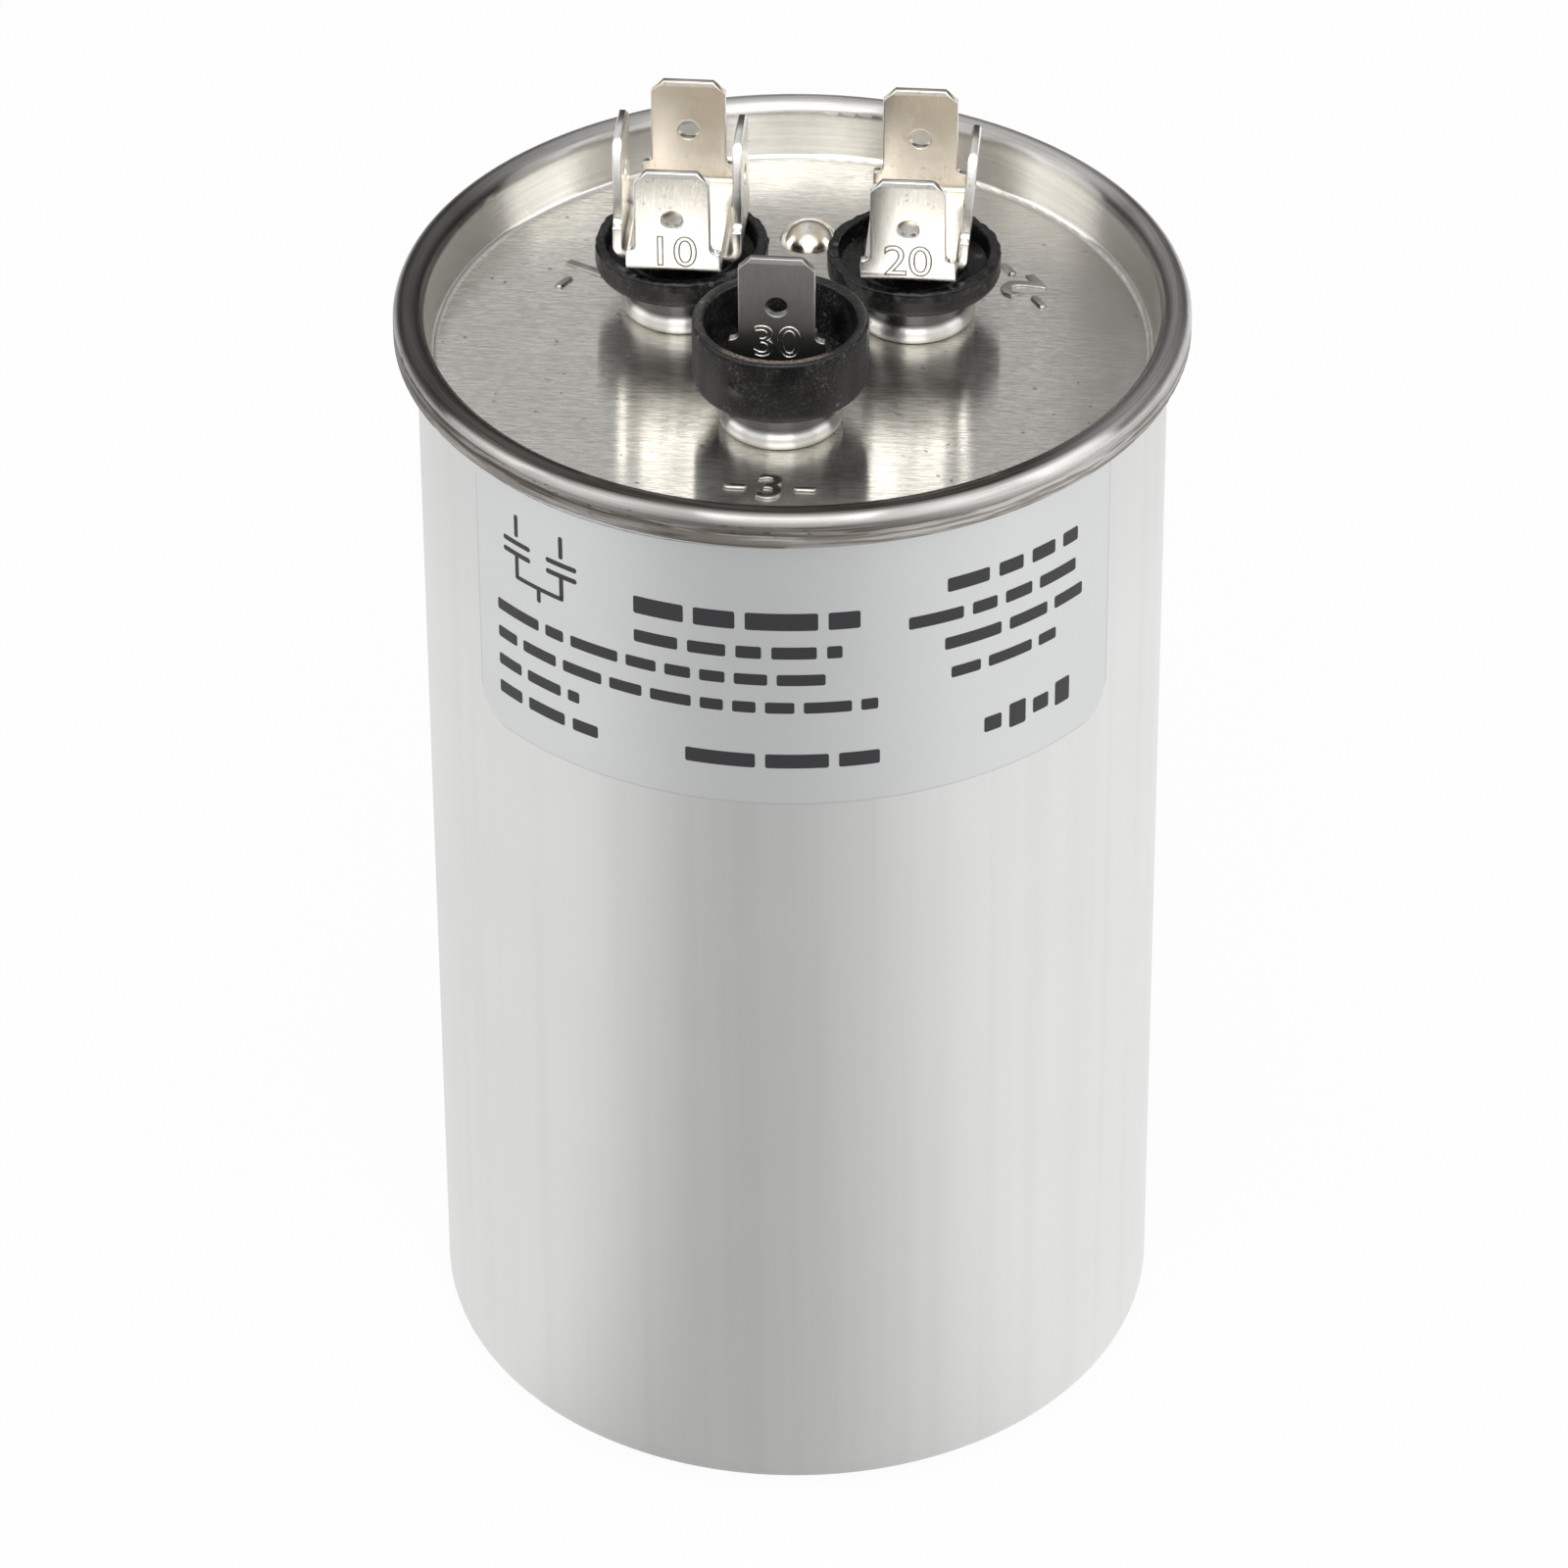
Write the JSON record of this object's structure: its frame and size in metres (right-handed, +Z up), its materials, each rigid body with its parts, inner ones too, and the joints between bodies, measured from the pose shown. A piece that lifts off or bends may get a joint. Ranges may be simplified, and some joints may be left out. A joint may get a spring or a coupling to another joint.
{
  "type": "dual run motor capacitor",
  "caption": "Round metal-cased dual-run capacitor with a seamed lid and riveted push-on tabs, for starting and running a compressor and a fan motor.",
  "frame": {"origin": "centre of the can's underside, where it stands", "axes": "+Z up along the can's axis; -Y towards the fan terminal and the label, with the common terminal at -X and the compressor terminal at +X"},
  "size_m": [0.0672, 0.0672, 0.1176],
  "materials": {
    "can_metal": "satin, drawn",
    "lid_metal": "bright tinplate, brushed",
    "tab_metal": "tin-plated brass, warm grey",
    "rivet_metal": "plated, dull",
    "plug_metal": "polished",
    "insulator": "black moulded thermoset",
    "label_film": "silver-grey satin film",
    "sealant": "dark compound",
    "winding_film": "metallised film, wound",
    "paper": "kraft paper",
    "board": "pressed insulating board",
    "sprayed_metal": "sprayed zinc, rough",
    "lead_metal": "tinned copper strip"
  },
  "bodies": {
    "root": {"can": "can_metal", "lid": "lid_metal", "seam_compound": "sealant", "fill_plug": "plug_metal", "label": "label_film", "common_bushing": "insulator", "compressor_bushing": "insulator", "fan_bushing": "insulator", "common_washer": "insulator", "compressor_washer": "insulator", "fan_washer": "insulator", "common_rivet": "rivet_metal", "compressor_rivet": "rivet_metal", "fan_rivet": "rivet_metal", "common_cross_tabs": "tab_metal", "common_long_tabs": "tab_metal", "compressor_side_tab": "tab_metal", "compressor_long_tabs": "tab_metal", "fan_tab": "tab_metal", "core_tube": "paper", "fan_winding": "winding_film", "section_sleeve": "paper", "compressor_winding": "winding_film", "winding_wrap": "paper", "bottom_contact": "sprayed_metal", "fan_contact": "sprayed_metal", "compressor_contact": "sprayed_metal", "bottom_pad": "board", "top_disc": "board", "common_lead": "lead_metal", "compressor_lead": "lead_metal", "fan_lead": "lead_metal"}
  },
  "joints": []
}
